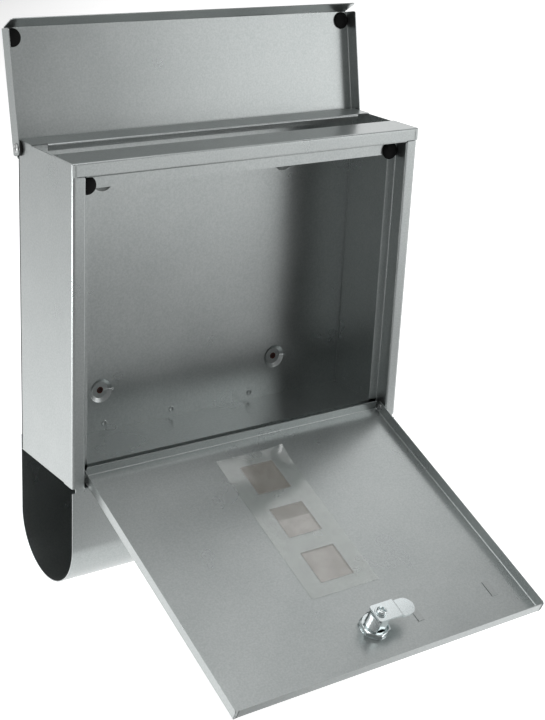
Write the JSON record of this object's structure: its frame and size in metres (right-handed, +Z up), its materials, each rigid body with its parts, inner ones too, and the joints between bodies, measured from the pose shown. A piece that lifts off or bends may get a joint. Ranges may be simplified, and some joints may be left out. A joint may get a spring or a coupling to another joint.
{
  "type": "wall mounted mailbox",
  "caption": "Sheet steel wall mailbox with a fold-down locking front door, a flip-up lid over a mail slot and an open newspaper tube underneath.",
  "frame": {"origin": "centre of the four wall screws, in the plane of the wall behind the spacers", "axes": "+Z up, +Y into the wall, -Y out of the front door, +X to the right as seen from the front"},
  "size_m": [0.374, 0.3689, 0.5035],
  "materials": {
    "coated_steel": "silver-grey satin coating on steel sheet",
    "name_plate_metal": "silver-grey satin coating",
    "bright_zinc": "bright plating on die-cast zinc and steel",
    "rivet_steel": "plain steel, satin",
    "spring_steel": "drawn wire",
    "wafer_brass": "stamped, unpolished",
    "black_rubber": "moulded, matt",
    "black_nylon": "moulded, matt",
    "brown_plastic": "moulded, matt dark red-brown",
    "clear_film": "clear flexible film",
    "clear_cover": "clear acrylic strip",
    "white_card": "plain paper card"
  },
  "bodies": {
    "mailbox_body": {"back_panel": "coated_steel", "wall_spacers": "brown_plastic", "front_and_tube_sheet": "coated_steel", "side_wall_left": "coated_steel", "side_wall_right": "coated_steel", "floor_plate": "coated_steel", "top_rail": "coated_steel", "frame_bumpers": "black_rubber", "door_hinge_pins": "rivet_steel", "lid_rivets": "rivet_steel", "lid_washers": "black_nylon"},
    "lid": {"lid_tray": "coated_steel", "lid_bumpers": "black_rubber"},
    "door": {"door_tray": "coated_steel", "window_film": "clear_film", "name_holder": "name_plate_metal", "name_cover": "clear_cover", "name_card": "white_card", "lock_barrel": "bright_zinc", "lock_washer": "bright_zinc", "lock_nut": "bright_zinc"},
    "plug_and_cam": {"lock_plug": "bright_zinc", "lock_wafers": "wafer_brass", "wafer_springs": "spring_steel", "lock_cam": "bright_zinc", "cam_spring_washer": "bright_zinc", "cam_screw": "bright_zinc"}
  },
  "joints": [
    {"name": "lid_hinge", "type": "hinge", "parent": "mailbox_body", "child": "lid", "pos_m": [0, -0.0155, 0.139], "axis": [1, 0, 0], "range_deg": [0, 99.1]},
    {"name": "door_hinge", "type": "hinge", "parent": "mailbox_body", "child": "door", "pos_m": [0, -0.1073, -0.1382], "axis": [-1, 0, 0], "range_deg": [0, 113]},
    {"name": "lock_turn", "type": "hinge", "parent": "door", "child": "plug_and_cam", "pos_m": [0, -0.31826, -0.23394], "axis": [0, 0.3907, -0.9205], "range_deg": [0, 90]}
  ]
}
